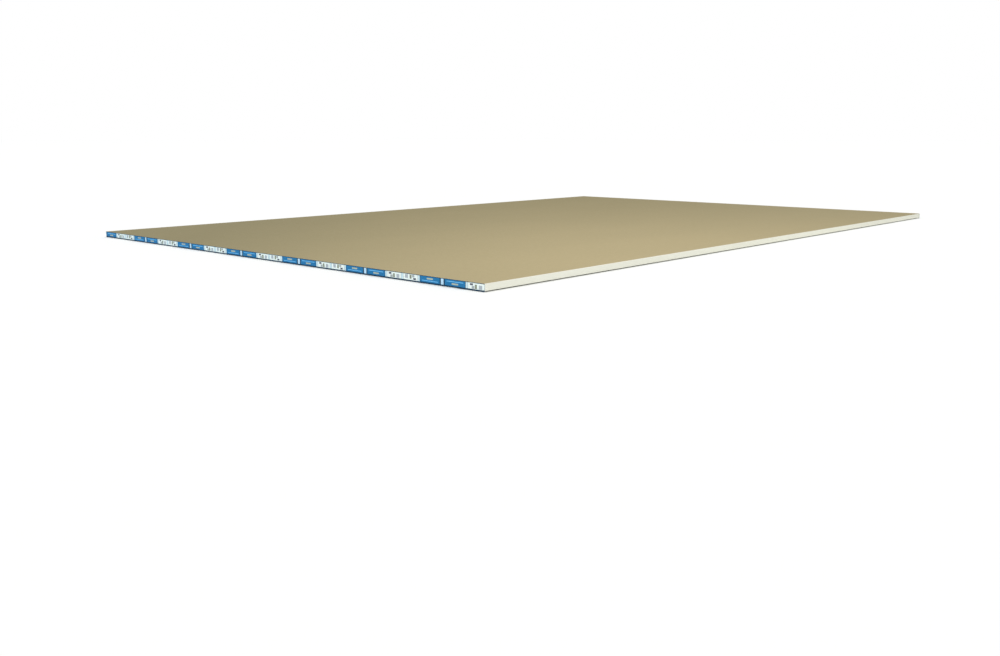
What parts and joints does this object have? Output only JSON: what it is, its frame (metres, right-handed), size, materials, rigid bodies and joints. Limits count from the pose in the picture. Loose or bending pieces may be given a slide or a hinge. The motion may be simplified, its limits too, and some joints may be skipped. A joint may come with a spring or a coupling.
{
  "type": "drywall sheet",
  "caption": "Flat gypsum board with a tan kraft back, an ivory face paper wrapped round its tapered long edges, and a strip of printed tape across each cut end.",
  "frame": {"origin": "centre of the face side, on the floor that the sheet lies on", "axes": "+X across the width, from long edge to long edge; +Y along the length, from taped end to taped end; +Z out of the tan back"},
  "size_m": [1.2, 1.8004, 0.013],
  "materials": {
    "face_paper": "smooth matt ivory face paper, folded round the long edges, over the gypsum core",
    "back_paper": "matt recycled kraft, tan, with fine fibres and a faint mottle",
    "end_tape": "smooth coated paper tape in blue, with plain white panels and small plain colour blocks"
  },
  "bodies": {
    "root": {"board": "face_paper", "back_paper": "back_paper", "end_tape_front": "end_tape", "end_tape_rear": "end_tape"}
  },
  "joints": []
}
